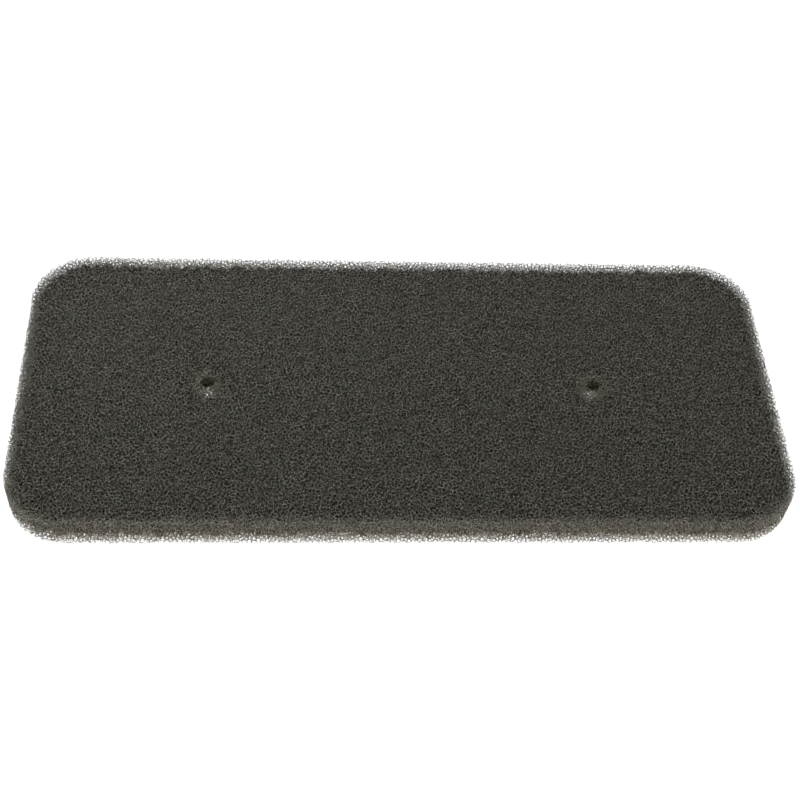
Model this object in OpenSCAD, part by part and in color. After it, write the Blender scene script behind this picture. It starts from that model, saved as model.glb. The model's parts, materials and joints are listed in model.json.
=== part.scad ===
// Open-cell foam air filter pad: one flat die-cut sheet of foam with rounded corners and two peg holes.
// Millimetres, +Z up. The origin is the centre of the face that the pad rests on, +X runs along its
// length and +Y towards its back edge.

/* [Pad] */
// Length of the pad, along X
pad_length = 260; // [180:1:320]
// Width of the pad, along Y
pad_width = 115; // [80:1:160]
// Thickness of the foam sheet that the pad is cut from
pad_thickness = 12; // [6:0.5:25]
// Radius of the four rounded corners in plan
corner_radius = 20; // [5:1:35]

/* [Peg holes] */
// Diameter of the two punched holes that drop over the filter frame's pegs
hole_diameter = 5; // [3:0.5:10]
// Distance between the centres of the two holes
hole_spacing = 133; // [60:1:150]
// Distance of both holes from the pad's centre line, towards its front edge
hole_offset = 0; // [0:0.5:20]

/* [Hidden] */
$fn = 96;
// The punch is drawn this much longer than the foam is thick, at each face
punch_overrun = 1;
foam_colour = [0.16, 0.155, 0.145];

// A flat rounded rectangle of exact arcs and straight sides
module rounded_rectangle(length, width, radius) {
    square([length - 2 * radius, width], center = true);
    square([length, width - 2 * radius], center = true);
    for (x_side = [-1, 1], y_side = [-1, 1]) {
        translate([x_side * (length / 2 - radius), y_side * (width / 2 - radius)]) circle(r = radius);
    }
}

// One punched hole's cutting cylinder, standing at the hole's centre
module hole_punch() {
    translate([0, 0, -punch_overrun]) {
        cylinder(d = hole_diameter, h = pad_thickness + 2 * punch_overrun);
    }
}

// The pad: the sheet cut to its outline, less the two peg holes
module foam_pad() {
    color(foam_colour) difference() {
        linear_extrude(pad_thickness) rounded_rectangle(pad_length, pad_width, corner_radius);
        for (side = [-1, 1]) {
            translate([side * hole_spacing / 2, -hole_offset, 0]) hole_punch();
        }
    }
}

foam_pad();
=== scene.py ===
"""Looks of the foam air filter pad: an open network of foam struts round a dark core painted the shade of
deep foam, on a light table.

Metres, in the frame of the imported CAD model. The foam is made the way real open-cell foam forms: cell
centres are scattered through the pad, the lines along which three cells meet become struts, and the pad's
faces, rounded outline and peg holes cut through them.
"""

import itertools
import json
import math

import bmesh
import bpy
import numpy as np
from mathutils import Matrix, Vector
from mathutils.geometry import delaunay_2d_cdt


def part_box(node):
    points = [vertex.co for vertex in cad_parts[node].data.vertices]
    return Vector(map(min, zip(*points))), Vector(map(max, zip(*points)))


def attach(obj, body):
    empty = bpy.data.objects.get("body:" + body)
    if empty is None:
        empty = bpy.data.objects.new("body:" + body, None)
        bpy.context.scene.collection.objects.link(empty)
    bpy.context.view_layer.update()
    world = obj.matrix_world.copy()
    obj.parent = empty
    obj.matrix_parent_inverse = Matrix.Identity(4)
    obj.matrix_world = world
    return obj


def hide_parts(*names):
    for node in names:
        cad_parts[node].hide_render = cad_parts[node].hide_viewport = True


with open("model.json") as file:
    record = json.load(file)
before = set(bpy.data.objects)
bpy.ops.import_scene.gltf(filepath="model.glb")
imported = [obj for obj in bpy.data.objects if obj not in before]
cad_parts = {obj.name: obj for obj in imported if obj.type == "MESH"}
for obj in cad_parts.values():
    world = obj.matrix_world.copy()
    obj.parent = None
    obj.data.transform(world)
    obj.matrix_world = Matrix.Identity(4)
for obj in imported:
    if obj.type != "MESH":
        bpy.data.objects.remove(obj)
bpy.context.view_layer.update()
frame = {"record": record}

MM = 0.001
LOW, HIGH = (np.array(corner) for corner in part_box("foam_pad"))
MIDDLE = (LOW + HIGH) / 2

# The pad's outline and peg holes, as the CAD has them
CORNER_RADIUS = 20 * MM
HOLES = [mount for mount in frame["record"]["mounts"] if mount["kind"] == "bore"]
HOLE_CENTRES = [np.array(mount["pos_m"][:2]) for mount in HOLES]
HOLE_RADIUS = HOLES[0]["dims"]["r_mm"] * MM

# The foam
CELL = 1.45 * MM  # diameter of a ball with a mean cell's volume
STRUT_RADIUS = 0.094 * MM  # from a node's centre to the corners of its struts
THICKNESS_SPREAD = 0.2  # how much that varies from node to node
SEED = 7
RELAX_STEPS = 2
RELAX_SPACING = 0.9  # cell centres closer than this share of the lattice's pitch push each other apart
LATTICE_MARGIN = 3  # lattice cells added beyond each side of the pad
NEIGHBOURS = 24  # a cell's possible neighbours, more than it ever touches
NEIGHBOUR_BLOCK = 2  # how many lattice cells away they are looked for
MEETING_REACH = 1.3  # how far from its cells' centres a node may be, in pitches
SURFACE_HALVINGS = 12  # steps in finding where the pad's surface cuts a strut
SHORTEST_STUMP = 0.02  # the least share of a cut strut that is kept
CELL_BATCH, TRIPLE_BATCH = 4096, 300_000  # rows worked on at a time, which limits the memory used

# Three of the four cells round a node. A place's missing cell is 3 less the place
TRIPLES = np.array(list(itertools.combinations(range(4), 3)))

# The core stands in for foam too deep to be seen, and its dark colour is painted shade, that of the deep
# foam. It starts this far inside each surface
CORE_BELOW_TOP = 1.0 * MM
CORE_ABOVE_BOTTOM = 0.4 * MM
CORE_FROM_SIDE = 3.2 * MM
CORE_FROM_HOLE = 3.5 * MM
CORE_EDGE_RADIUS = 3.5 * MM
CORE_EDGE_RINGS = 7  # rings of points across its rounded edge
CORE_STEP = 1.2 * MM  # between its points
CORE_SHAKE = (0.2, 0.8)  # where in its square a point may be, as shares of that step
CORE_BUMP = 0.4 * MM  # how far its faces reach out into the open foam at most
CORE_SIDE_BUMP = 2.4 * MM  # and its sides
PLAN_TOLERANCE = 1e-6  # mm, below which points of its plan count as one

# The foam is split into tiles, so that each piece's mesh stays small enough to export whole
TILES_X, TILES_Y = 12, 3

# The colours of the struts and the core. The core's dark colour is painted shade, that of the deep foam it
# stands in for
STRUT_COLOUR = (0.2, 0.193, 0.166)
CORE_SHADE_COLOUR = (0.04, 0.0385, 0.033)
STRUT_PAINTED_GLOW = (0.29, 0.255, 0.18)  # painted light, for the struts and the core below: the light that comes through the foam low down near the sides and holes
CORE_PAINTED_GLOW = (0.22, 0.188, 0.128)
RIM_DEPTH = 4.5 * MM  # how deep in from them that light reaches
RIM_LOSS, HOLE_LOSS = 0.85, 0.45  # the shares of it that are lost by the top face, at sides and at holes

# The grain: a noise that varies their colour, as random tone and painted glints, and their roughness, and
# raises a fine bump
GRAIN_SIZE = 0.46 * MM
GRAIN_DETAIL = 2.5
GRAIN_FROM, GRAIN_TO = 0.42, 0.62  # the noise levels between which it changes
GRAIN_DULL, GRAIN_PAINTED_GLINT = 0.2, 2.6  # what the colour is multiplied by at those levels; the bright end paints glints
STRUT_ROUGHNESS, CORE_ROUGHNESS = (0.24, 0.4), (0.7, 0.9)  # at the grain's brightest and dullest
STRUT_GLOSS, CORE_GLOSS = 0.25, 0.1  # specular levels
STRUT_GRAIN_BUMP, CORE_GRAIN_BUMP = 0.01 * MM, 0.15 * MM

# The studio. Places and sizes are in metres, and powers in watts
CAMERA_LENS = 62.9  # mm, for a 36 mm sensor
CAMERA_CLIP = (0.01, 10)  # nearest and furthest that it sees
CAMERA_ELEVATION, CAMERA_AZIMUTH, CAMERA_ROLL = 51.87, 6.84, 5.75  # degrees
CAMERA_DISTANCE, CAMERA_RIGHT, CAMERA_ABOVE = 490.3 * MM, 0.14 * MM, -1.27 * MM
FLOOR_SIZE, FLOOR_GAP = 6.0, 0.05 * MM
BACKDROP_RADIUS, BACKDROP_SIDES = 4.5, 48
FLOOR_GLOW, FLOOR_SHADE, FLOOR_ROUGHNESS = 1.1, 0.1, 0.9  # its emission, base grey and roughness
SURROUND = 0.12  # strength of the even light from all round
KEY_PLACE, KEY_SIZE, KEY_POWER = (-0.2, 0.65, 0.75), 0.3, 7.5
FILL_PLACE, FILL_SIZE, FILL_POWER = (0.2, -1.0, 0.25), 0.5, 4.3


# ---------------------------------------------------------------- the pad's shape


def outline_distance(points):
    """Distance in plan outside the rounded outline, negative inside it."""
    half = (HIGH - LOW)[:2] / 2 - CORNER_RADIUS
    beyond = np.abs(points[..., :2] - MIDDLE[:2]) - half
    outside = np.sqrt((np.maximum(beyond, 0) ** 2).sum(-1))
    return outside + np.minimum(beyond.max(-1), 0) - CORNER_RADIUS


def hole_distance(points):
    """How far a point is inside the nearest peg hole, negative in the foam round it."""
    gaps = [np.linalg.norm(points[..., :2] - centre, axis=-1) for centre in HOLE_CENTRES]
    return HOLE_RADIUS - np.minimum(*gaps)


def plan_distance(points):
    """Distance in plan from the foam, negative in it."""
    return np.maximum(outline_distance(points), hole_distance(points))


def rim_light(points):
    """The share of light that comes through the foam here: most low down near the sides and holes."""
    height = np.clip((points[..., 2] - LOW[2]) / (HIGH - LOW)[2], 0, 1)
    from_side = np.clip(1 + outline_distance(points) / RIM_DEPTH, 0, 1) * (1 - RIM_LOSS * height)
    from_hole = np.clip(1 + hole_distance(points) / RIM_DEPTH, 0, 1) * (1 - HOLE_LOSS * height)
    return np.maximum(from_side, from_hole)


def core_plan_distance(points):
    """Distance in plan from the core, negative in it."""
    return np.maximum(outline_distance(points) + CORE_FROM_SIDE, hole_distance(points) + CORE_FROM_HOLE)


def pad_distance(points):
    """Distance from the pad's surface, negative in the foam."""
    height = np.abs(points[..., 2] - MIDDLE[2]) - (HIGH - LOW)[2] / 2
    return np.maximum(plan_distance(points), height)


def core_distance(points):
    """Distance from the core's surface, negative in the core, which has rounded edges."""
    low, high = LOW[2] + CORE_ABOVE_BOTTOM, HIGH[2] - CORE_BELOW_TOP
    beside = core_plan_distance(points) + CORE_EDGE_RADIUS
    above = np.abs(points[..., 2] - (low + high) / 2) - (high - low) / 2 + CORE_EDGE_RADIUS
    rounded = np.hypot(np.maximum(beside, 0), np.maximum(above, 0))
    return rounded + np.minimum(np.maximum(beside, above), 0) - CORE_EDGE_RADIUS


def open_distance(points):
    """Distance from the open foam, which is the pad less its core, negative in it."""
    return np.maximum(pad_distance(points), -core_distance(points))


# ---------------------------------------------------------------- the foam's cells


def cell_centres(rng):
    """Cell centres on a shaken body-centred lattice [x, y, z, 2, 3], pushed apart until they are even."""
    pitch = (math.pi / 3) ** (1 / 3) * CELL
    counts = np.ceil((HIGH - LOW) / pitch).astype(int) + 2 * LATTICE_MARGIN
    start = MIDDLE - counts * pitch / 2
    steps = np.stack(np.meshgrid(*[np.arange(n) for n in counts], indexing="ij"), -1)
    pair = np.array([[0.25, 0.25, 0.25], [0.75, 0.75, 0.75]])
    centres = start + pitch * (steps[..., None, :] + pair)
    centres += rng.uniform(-pitch / 2, pitch / 2, centres.shape)
    near = (-1, 0, 1)
    shifts = [s for s in itertools.product(near, near, near, (1, -1)) if s != (0, 0, 0, 1)]
    for _ in range(RELAX_STEPS):
        push = np.zeros_like(centres)
        for shift in shifts:
            gap = centres - np.roll(centres, shift[:3], (0, 1, 2))[..., :: shift[3], :]
            length = np.linalg.norm(gap, axis=-1, keepdims=True)
            push += gap / length * np.maximum(RELAX_SPACING * pitch - length, 0)
        centres += push / 2
    return centres, pitch


def nearest_cells(centres, picked):
    """The numbers of the NEIGHBOURS cells nearest to each picked one."""
    nx, ny, nz = centres.shape[:3]
    flat = centres.reshape(-1, 3)
    span = range(-NEIGHBOUR_BLOCK, NEIGHBOUR_BLOCK + 1)
    block = np.array(list(itertools.product(span, repeat=3)))
    offsets = (block @ [2 * ny * nz, 2 * nz, 2])[:, None] + [0, 1]
    found = np.empty((len(picked), NEIGHBOURS), np.int64)
    for first in range(0, len(picked), CELL_BATCH):
        own = picked[first : first + CELL_BATCH]
        others = (own - own % 2)[:, None] + offsets.ravel()
        others = others.clip(0, len(flat) - 1)
        gap = ((flat[others] - flat[own][:, None]) ** 2).sum(-1)
        gap[others == own[:, None]] = np.inf
        nearest = np.argpartition(gap, NEIGHBOURS, 1)[:, :NEIGHBOURS]
        found[first : first + CELL_BATCH] = np.take_along_axis(others, nearest, 1)
    return found


def meeting_points(flat, picked, near, reach):
    """Where four cells meet: the points, and each one's four cells in rising order.

    A point is worked out from its lowest-numbered cell, as the one place as far from that cell's centre as
    from three others', and it is kept if no other centre is nearer.
    """
    later = near > picked[:, None]
    near = np.take_along_axis(near, np.argsort(~later, 1, kind="stable"), 1)
    later = later.sum(1)
    points, cells = [], []
    for count in range(3, NEIGHBOURS + 1):
        rows = np.flatnonzero(later == count)
        triples = np.array(list(itertools.combinations(range(count), 3)))
        step = max(1, TRIPLE_BATCH // len(triples))
        for first in range(0, len(rows), step):
            row = rows[first : first + step]
            home = flat[picked[row]]
            normal = flat[near[row]] - home[:, None]
            level = (normal**2).sum(-1) / 2
            a, b, c = (normal[:, triples[:, k]] for k in range(3))
            la, lb, lc = (level[:, triples[:, k], None] for k in range(3))
            bc, ca, ab = np.cross(b, c), np.cross(c, a), np.cross(a, b)
            spot = (la * bc + lb * ca + lc * ab) / (a * bc).sum(-1)[..., None]
            i, j = np.nonzero((spot**2).sum(-1) < reach**2)
            spot, own = spot[i, j], triples[j]
            excess = np.einsum("ij,ikj->ik", spot, normal[i]) - level[i]
            np.put_along_axis(excess, own, -1.0, 1)
            kept = (excess <= 0).all(1)
            i, own = i[kept], own[kept]
            points.append(spot[kept] + home[i])
            cells.append(np.c_[picked[row[i]], np.take_along_axis(near[row[i]], own, 1)])
    return np.concatenate(points), np.sort(np.concatenate(cells), 1)


def foam_network(rng):
    """The foam's nodes, the centres of the four cells round each, and its struts.

    A strut is the line where three cells meet. It is given as the numbers of its corner triple at either
    end: 4n plus the triple's place in TRIPLES, for node n.
    """
    centres, pitch = cell_centres(rng)
    flat = centres.reshape(-1, 3)
    picked = np.flatnonzero(open_distance(flat) < pitch)
    near = nearest_cells(centres, picked)
    nodes, cells = meeting_points(flat, picked, near, MEETING_REACH * pitch)
    total = len(flat)
    key = (cells[:, TRIPLES] @ [total * total, total, 1]).ravel()
    order = np.argsort(key, kind="stable")
    _, first, count = np.unique(key[order], return_index=True, return_counts=True)
    first = first[count == 2]
    return nodes, flat[cells], np.c_[order[first], order[first + 1]]


# ---------------------------------------------------------------- the foam's mesh


def cut_at_surface(inner, outer):
    """Where lines from inner points to outer ones leave the pad, by halving."""
    near, far = np.zeros(inner.shape[:-1] + (1,)), np.ones(inner.shape[:-1] + (1,))
    for _ in range(SURFACE_HALVINGS):
        middle = (near + far) / 2
        within = pad_distance(inner + (outer - inner) * middle)[..., None] < 0
        near, far = np.where(within, middle, near), np.where(within, far, middle)
    return inner + (outer - inner) * np.maximum(near, SHORTEST_STUMP)


def foam_struts(rng):
    """The foam's struts, ready to be split into tiles.

    Returns the table of points, in which node n's corners are rows 4n to 4n + 3, one towards each cell that
    meets there. Then, for each strut, the number of its corner triple at each end, and the rows of the
    three corners at each end. Where the pad's surface cuts a strut, its second triple's number is -1, and
    its corners there are rows of their own at the end of the table.
    """
    nodes, cells, ends = foam_network(rng)
    toward = cells - nodes[:, None]
    reach = STRUT_RADIUS * np.exp(rng.normal(0, THICKNESS_SPREAD, (len(nodes), 1, 1)))
    corners = nodes[:, None] + reach * toward / np.linalg.norm(toward, axis=-1, keepdims=True)
    inside = pad_distance(nodes) < 0
    shown = inside & (core_distance(nodes) > 0)
    away = ~shown[ends[:, 0] // 4]
    ends[away] = ends[away][:, ::-1]
    ends = ends[shown[ends[:, 0] // 4]]
    rows = ends[..., None] // 4 * 4 + TRIPLES[ends % 4]
    points = corners.reshape(-1, 3)
    cut = np.flatnonzero(~inside[ends[:, 1] // 4])
    stumps = cut_at_surface(points[rows[cut, 0]], points[rows[cut, 1]])
    ends[cut, 1] = -1
    rows[cut, 1] = len(points) + np.arange(3 * len(cut)).reshape(-1, 3)
    return np.concatenate([points, stumps.reshape(-1, 3)]), ends, rows


def facing(points, triangles, ways):
    """The triangles, turned where needed so that each one's normal points its way."""
    a, b, c = (points[triangles[:, k]] for k in range(3))
    backward = (np.cross(b - a, c - a) * ways).sum(-1) < 0
    triangles[backward] = triangles[backward][:, ::-1]
    return triangles


def strut_faces(points, ends, rows):
    """The quads along these struts, and the triangles that close every end no other strut goes on from."""
    along = points[rows[:, 1, 0]] - points[rows[:, 0, 0]]
    a, b, c = (points[rows[:, 0, k]] for k in range(3))
    backward = (np.cross(b - a, c - a) * along).sum(-1) < 0
    rows = rows.copy()
    rows[backward] = rows[backward][..., ::-1]
    sides = [rows[:, [0, 0, 1, 1], [k, (k + 1) % 3, (k + 1) % 3, k]] for k in range(3)]
    cuts = rows[ends[:, 1] < 0, 1]
    used = np.unique(ends[ends >= 0])
    open_ends = np.setdiff1d(np.unique(used // 4)[:, None] * 4 + np.arange(4), used)
    closed = open_ends[:, None] // 4 * 4 + TRIPLES[open_ends % 4]
    opposite = open_ends // 4 * 4 + 3 - open_ends % 4
    closed = facing(points, closed, points[closed[:, 0]] - points[opposite])
    return np.concatenate(sides), np.concatenate([cuts, closed])


def mesh_piece(name, points, quads, triangles, material):
    """A new object of these faces, whose UV map is its plan. Quads are shaded smooth and triangles flat."""
    used, corners = np.unique(np.concatenate([quads.ravel(), triangles.ravel()]), return_inverse=True)
    starts = np.concatenate([4 * np.arange(len(quads)), quads.size + 3 * np.arange(len(triangles))])
    mesh = bpy.data.meshes.new(name)
    mesh.vertices.add(len(used))
    mesh.vertices.foreach_set("co", points[used].astype(np.float32).ravel())
    mesh.loops.add(len(corners))
    mesh.loops.foreach_set("vertex_index", corners.astype(np.int32))
    mesh.polygons.add(len(starts))
    mesh.polygons.foreach_set("loop_start", starts.astype(np.int32))
    mesh.polygons.foreach_set("use_smooth", np.arange(len(starts)) < len(quads))
    plan = points[used][corners, :2]
    low, high = plan.min(0), plan.max(0)
    flat = ((plan - low) / (high - low)).astype(np.float32)
    mesh.uv_layers.new(name="OFBake").uv.foreach_set("vector", flat.ravel())
    light = mesh.attributes.new("rim_light", "FLOAT", "POINT")
    light.data.foreach_set("value", rim_light(points[used]).astype(np.float32))
    mesh.update(calc_edges=True)
    mesh.materials.append(material)
    piece = bpy.data.objects.new(name, mesh)
    bpy.context.scene.collection.objects.link(piece)
    return piece


def build_foam(material):
    """The open foam, as one piece for each tile of the pad's plan."""
    points, ends, rows = foam_struts(np.random.default_rng(SEED))
    middles = (points[rows[:, 0, 0]] + points[rows[:, 1, 0]])[:, :2] / 2
    tiles = np.array([TILES_X, TILES_Y])
    place = ((middles - LOW[:2]) / (HIGH - LOW)[:2] * tiles).astype(int).clip(0, tiles - 1)
    pieces = []
    for column, line in itertools.product(range(TILES_X), range(TILES_Y)):
        here = (place == [column, line]).all(-1)
        quads, triangles = strut_faces(points, ends[here], rows[here])
        name = f"foam_struts_{column + 1}_{line + 1}"
        pieces.append(mesh_piece(name, points, quads, triangles, material))
    return pieces


# ---------------------------------------------------------------- the core


def rounded_outline(inset, step):
    """Points about step apart round the pad's outline, moved in by inset."""
    radius = CORNER_RADIUS - inset
    half = (HIGH - LOW)[:2] / 2 - CORNER_RADIUS
    turn = np.linspace(0, math.pi / 2, max(3, round(radius * math.pi / 2 / step)))
    ring = []
    for quarter, (x_side, y_side) in enumerate([(1, 1), (-1, 1), (-1, -1), (1, -1)]):
        angle = turn + quarter * math.pi / 2
        centre = MIDDLE[:2] + half * [x_side, y_side]
        arc = centre + radius * np.c_[np.cos(angle), np.sin(angle)]
        side = np.array([(-1, 0), (0, -1), (1, 0), (0, 1)][quarter]) * 2 * half
        count = max(2, round(np.abs(side).max() / step))
        ring += [arc, arc[-1] + side * np.linspace(0, 1, count, endpoint=False)[1:, None]]
    return np.concatenate(ring)


def round_ring(centre, radius, step):
    """Points about step apart round a circle."""
    angle = np.linspace(0, math.tau, round(math.tau * radius / step), endpoint=False)
    return centre + radius * np.c_[np.cos(angle), np.sin(angle)]


def core_plan(rng):
    """The plan of one of the core's faces: points, triangles, and how many of the points are on its rims."""
    rims, rings = [], []
    for turn in np.linspace(0, math.pi / 2, CORE_EDGE_RINGS):
        inset = CORE_EDGE_RADIUS * (1 - math.cos(turn))
        loops = [rounded_outline(CORE_FROM_SIDE + inset, CORE_STEP)]
        radius = HOLE_RADIUS + CORE_FROM_HOLE + inset
        loops += [round_ring(centre, radius, CORE_STEP) for centre in HOLE_CENTRES]
        (rims if turn == 0 else rings).extend(loops)
    across, down = np.ceil((HIGH - LOW)[:2] / CORE_STEP).astype(int)
    grid = np.stack(np.meshgrid(np.arange(across), np.arange(down), indexing="ij"), -1).reshape(-1, 2)
    grid = LOW[:2] + CORE_STEP * (grid + rng.uniform(*CORE_SHAKE, grid.shape))
    grid = grid[core_plan_distance(grid) < -CORE_EDGE_RADIUS - CORE_STEP / 2]
    edges, first = [], 0
    for rim in rims:
        numbers = np.arange(first, first + len(rim))
        edges += np.c_[numbers, np.roll(numbers, -1)].tolist()
        first += len(rim)
    plan = np.concatenate(rims + rings + [grid])
    found = delaunay_2d_cdt([Vector(p) for p in plan / MM], edges, [], 0, PLAN_TOLERANCE)
    plan, triangles = np.array(found[0])[:, :2] * MM, np.array(found[2])
    within = core_plan_distance(plan[triangles].mean(1)) < 0
    return plan, triangles[within], first


def outward(plan):
    """The direction in plan, at each point, in which the core's rim is nearest."""
    tiny = 0.01 * MM
    steps = [core_plan_distance(plan + side) - core_plan_distance(plan - side) for side in tiny * np.eye(2)]
    return np.stack(steps, -1) / (2 * tiny)


def core_face(rng, plan, rim_points, way):
    """One face of the core: its rounded edge and its bumps, which stay inside the pad."""
    low, high = LOW[2] + CORE_ABOVE_BOTTOM, HIGH[2] - CORE_BELOW_TOP
    lean = np.clip(1 + core_plan_distance(plan) / CORE_EDGE_RADIUS, 0, 1)
    lean[:rim_points] = 1
    rise = np.sqrt(1 - lean**2)
    bump = rng.random(len(plan)) ** 2 * (CORE_BUMP + (CORE_SIDE_BUMP - CORE_BUMP) * lean)
    level = ((high - low) / 2 - CORE_EDGE_RADIUS) * (lean < 1) + (CORE_EDGE_RADIUS + bump) * rise
    room = CORE_BELOW_TOP if way > 0 else CORE_ABOVE_BOTTOM
    level = np.minimum(level, (high - low) / 2 + room)
    return np.c_[plan + outward(plan) * (bump * lean)[:, None], (low + high) / 2 + way * level]


def build_core(material):
    """The dark body inside the open foam, painted the shade of the deep foam it stands in for: two facing
    sheets that join at their rims.
    """
    rng = np.random.default_rng(SEED + 1)
    plan, triangles, rim_points = core_plan(rng)
    top, bottom = (core_face(rng, plan, rim_points, way) for way in (1, -1))
    upper = facing(top, triangles.copy(), np.array([0, 0, 1]))
    number = np.arange(len(plan)) + len(plan)
    number[:rim_points] -= len(plan)
    faces = np.concatenate([upper, number[upper[:, ::-1]]])
    return mesh_piece("foam_core", np.concatenate([top, bottom]), np.empty((0, 4), int), faces, material)


# ---------------------------------------------------------------- materials


def new_material(name):
    """A node material, its node tree and its Principled shader."""
    material = bpy.data.materials.new(name)
    material.use_nodes = True
    return material, material.node_tree, material.node_tree.nodes["Principled BSDF"]


def grain_and_glints(tree):
    """A noise finer than a cell, for random tone and painted glints in the colour, for roughness and for a
    fine bump.
    """
    place = tree.nodes.new("ShaderNodeTexCoord")
    noise = tree.nodes.new("ShaderNodeTexNoise")
    noise.inputs["Scale"].default_value = 1 / GRAIN_SIZE
    noise.inputs["Detail"].default_value = GRAIN_DETAIL
    tree.links.new(place.outputs["Object"], noise.inputs["Vector"])
    return noise.outputs["Fac"]


def mapped(tree, level, low, high):
    """The grain's level, stretched smoothly to run from low to high."""
    stretch = tree.nodes.new("ShaderNodeMapRange")
    stretch.interpolation_type = "SMOOTHSTEP"
    stretch.inputs["From Min"].default_value = GRAIN_FROM
    stretch.inputs["From Max"].default_value = GRAIN_TO
    stretch.inputs["To Min"].default_value = low
    stretch.inputs["To Max"].default_value = high
    tree.links.new(level, stretch.inputs["Value"])
    return stretch.outputs["Result"]


def painted_rim_glow(tree, colour, painted_glow):
    """The colour, with painted light mixed in: a warmer colour that stands for light coming through towards
    the pad's sides and holes.
    """
    light = tree.nodes.new("ShaderNodeAttribute")
    light.attribute_name = "rim_light"
    mix = tree.nodes.new("ShaderNodeMix")
    mix.data_type = "VECTOR"
    factor, inner, rim = (socket for socket in mix.inputs if socket.enabled)
    inner.default_value = colour
    rim.default_value = painted_glow
    tree.links.new(light.outputs["Fac"], factor)
    return next(socket for socket in mix.outputs if socket.enabled)


def foam_material(name, colour, painted_glow, roughness, gloss, bump):
    """Charcoal polyurethane, whose colour, roughness and fine bump vary with the grain. Its colour also
    carries painted glints from the grain, and painted light that comes through near the sides and holes.

    Roughness is given as its ends, from the brightest grain to the dullest. Gloss is the specular level.
    """
    material, tree, shader = new_material(name)
    level = grain_and_glints(tree)
    tint = tree.nodes.new("ShaderNodeVectorMath")
    tint.operation = "SCALE"
    tree.links.new(painted_rim_glow(tree, colour, painted_glow), tint.inputs[0])
    tree.links.new(mapped(tree, level, GRAIN_DULL, GRAIN_PAINTED_GLINT), tint.inputs["Scale"])
    tree.links.new(tint.outputs["Vector"], shader.inputs["Base Color"])
    smooth, rough = roughness
    tree.links.new(mapped(tree, level, rough, smooth), shader.inputs["Roughness"])
    shader.inputs["Specular IOR Level"].default_value = gloss
    uneven = tree.nodes.new("ShaderNodeBump")
    uneven.inputs["Distance"].default_value = bump
    tree.links.new(level, uneven.inputs["Height"])
    tree.links.new(uneven.outputs["Normal"], shader.inputs["Normal"])
    return material


def floor_material(name):
    """A pale surface with an even glow, as a light table has."""
    material, tree, shader = new_material(name)
    shader.inputs["Base Color"].default_value = (FLOOR_SHADE, FLOOR_SHADE, FLOOR_SHADE, 1)
    shader.inputs["Roughness"].default_value = FLOOR_ROUGHNESS
    shader.inputs["Emission Color"].default_value = (1, 1, 1, 1)
    shader.inputs["Emission Strength"].default_value = FLOOR_GLOW
    return material


# ---------------------------------------------------------------- the studio


def build_floor():
    """A wide flat floor just under the pad."""
    mesh = bpy.data.meshes.new("floor")
    half = FLOOR_SIZE / 2
    corners = [(-half, -half), (half, -half), (half, half), (-half, half)]
    mesh.from_pydata([(x, y, LOW[2] - FLOOR_GAP) for x, y in corners], [], [(0, 1, 2, 3)])
    mesh.materials.append(floor_material("pale_floor"))
    floor = bpy.data.objects.new("floor", mesh)
    bpy.context.scene.collection.objects.link(floor)


def build_backdrop():
    """A pale dome round the studio, so that the floor has no visible end. It is seen, but lights nothing."""
    shape = bmesh.new()
    bmesh.ops.create_uvsphere(
        shape, u_segments=BACKDROP_SIDES, v_segments=BACKDROP_SIDES // 2, radius=BACKDROP_RADIUS
    )
    mesh = bpy.data.meshes.new("backdrop")
    shape.to_mesh(mesh)
    shape.free()
    mesh.materials.append(floor_material("pale_backdrop"))
    backdrop = bpy.data.objects.new("backdrop", mesh)
    backdrop.visible_diffuse = False
    backdrop.visible_glossy = False
    backdrop.visible_transmission = False
    backdrop.visible_shadow = False
    bpy.context.scene.collection.objects.link(backdrop)


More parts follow.
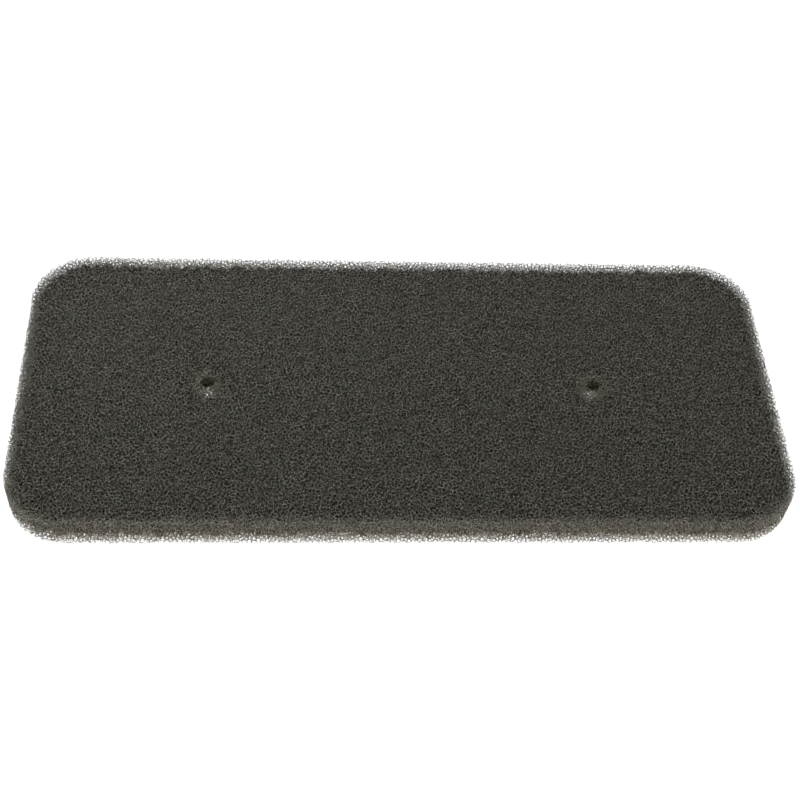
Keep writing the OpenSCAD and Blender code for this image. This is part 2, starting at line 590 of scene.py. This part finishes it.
def add_light(name, place, size, power):
    """A square soft light that faces the pad."""
    lamp = bpy.data.lights.new(name, "AREA")
    lamp.size, lamp.energy = size, power
    light = bpy.data.objects.new(name, lamp)
    light.location = place
    light.rotation_euler = (Vector(MIDDLE) - Vector(place)).to_track_quat("-Z", "Y").to_euler()
    bpy.context.scene.collection.objects.link(light)


def light_studio():
    """Soft light from behind and above, a weaker one from in front, and an even dim surround."""
    add_light("key_light", KEY_PLACE, KEY_SIZE, KEY_POWER)
    add_light("fill_light", FILL_PLACE, FILL_SIZE, FILL_POWER)
    world = bpy.data.worlds.new("surround")
    world.use_nodes = True
    sky = world.node_tree.nodes["Background"]
    sky.inputs["Color"].default_value = (1, 1, 1, 1)
    sky.inputs["Strength"].default_value = SURROUND
    bpy.context.scene.world = world
    bpy.context.scene.view_settings.view_transform = "Standard"


def aim_camera():
    """The camera at the photograph's viewing angle: from in front and above, a little from the left."""
    lens = bpy.data.cameras.new("camera")
    lens.lens = CAMERA_LENS
    lens.clip_start, lens.clip_end = CAMERA_CLIP
    camera = bpy.data.objects.new("camera", lens)
    up, side, roll = (math.radians(a) for a in (CAMERA_ELEVATION, CAMERA_AZIMUTH, CAMERA_ROLL))
    back = Vector((-math.sin(side) * math.cos(up), -math.cos(side) * math.cos(up), math.sin(up)))
    turn = back.to_track_quat("Z", "Y").to_matrix() @ Matrix.Rotation(roll, 3, "Z")
    right, above = turn.col[0], turn.col[1]
    base = Vector((MIDDLE[0], MIDDLE[1], LOW[2]))
    camera.matrix_world = Matrix.Translation(
        base + back * CAMERA_DISTANCE - right * CAMERA_RIGHT - above * CAMERA_ABOVE
    ) @ turn.to_4x4()
    bpy.context.scene.collection.objects.link(camera)
    bpy.context.scene.camera = camera


# ---------------------------------------------------------------- the whole

aim_camera()
build_floor()
build_backdrop()
light_studio()
core_finish = (CORE_ROUGHNESS, CORE_GLOSS, CORE_GRAIN_BUMP)
core = build_core(foam_material("foam_core", CORE_SHADE_COLOUR, CORE_PAINTED_GLOW, *core_finish))
strut_finish = (STRUT_ROUGHNESS, STRUT_GLOSS, STRUT_GRAIN_BUMP)
foam = build_foam(foam_material("foam_strut", STRUT_COLOUR, STRUT_PAINTED_GLOW, *strut_finish))
for piece in [core] + foam:
    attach(piece, "root")
    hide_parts("foam_pad")
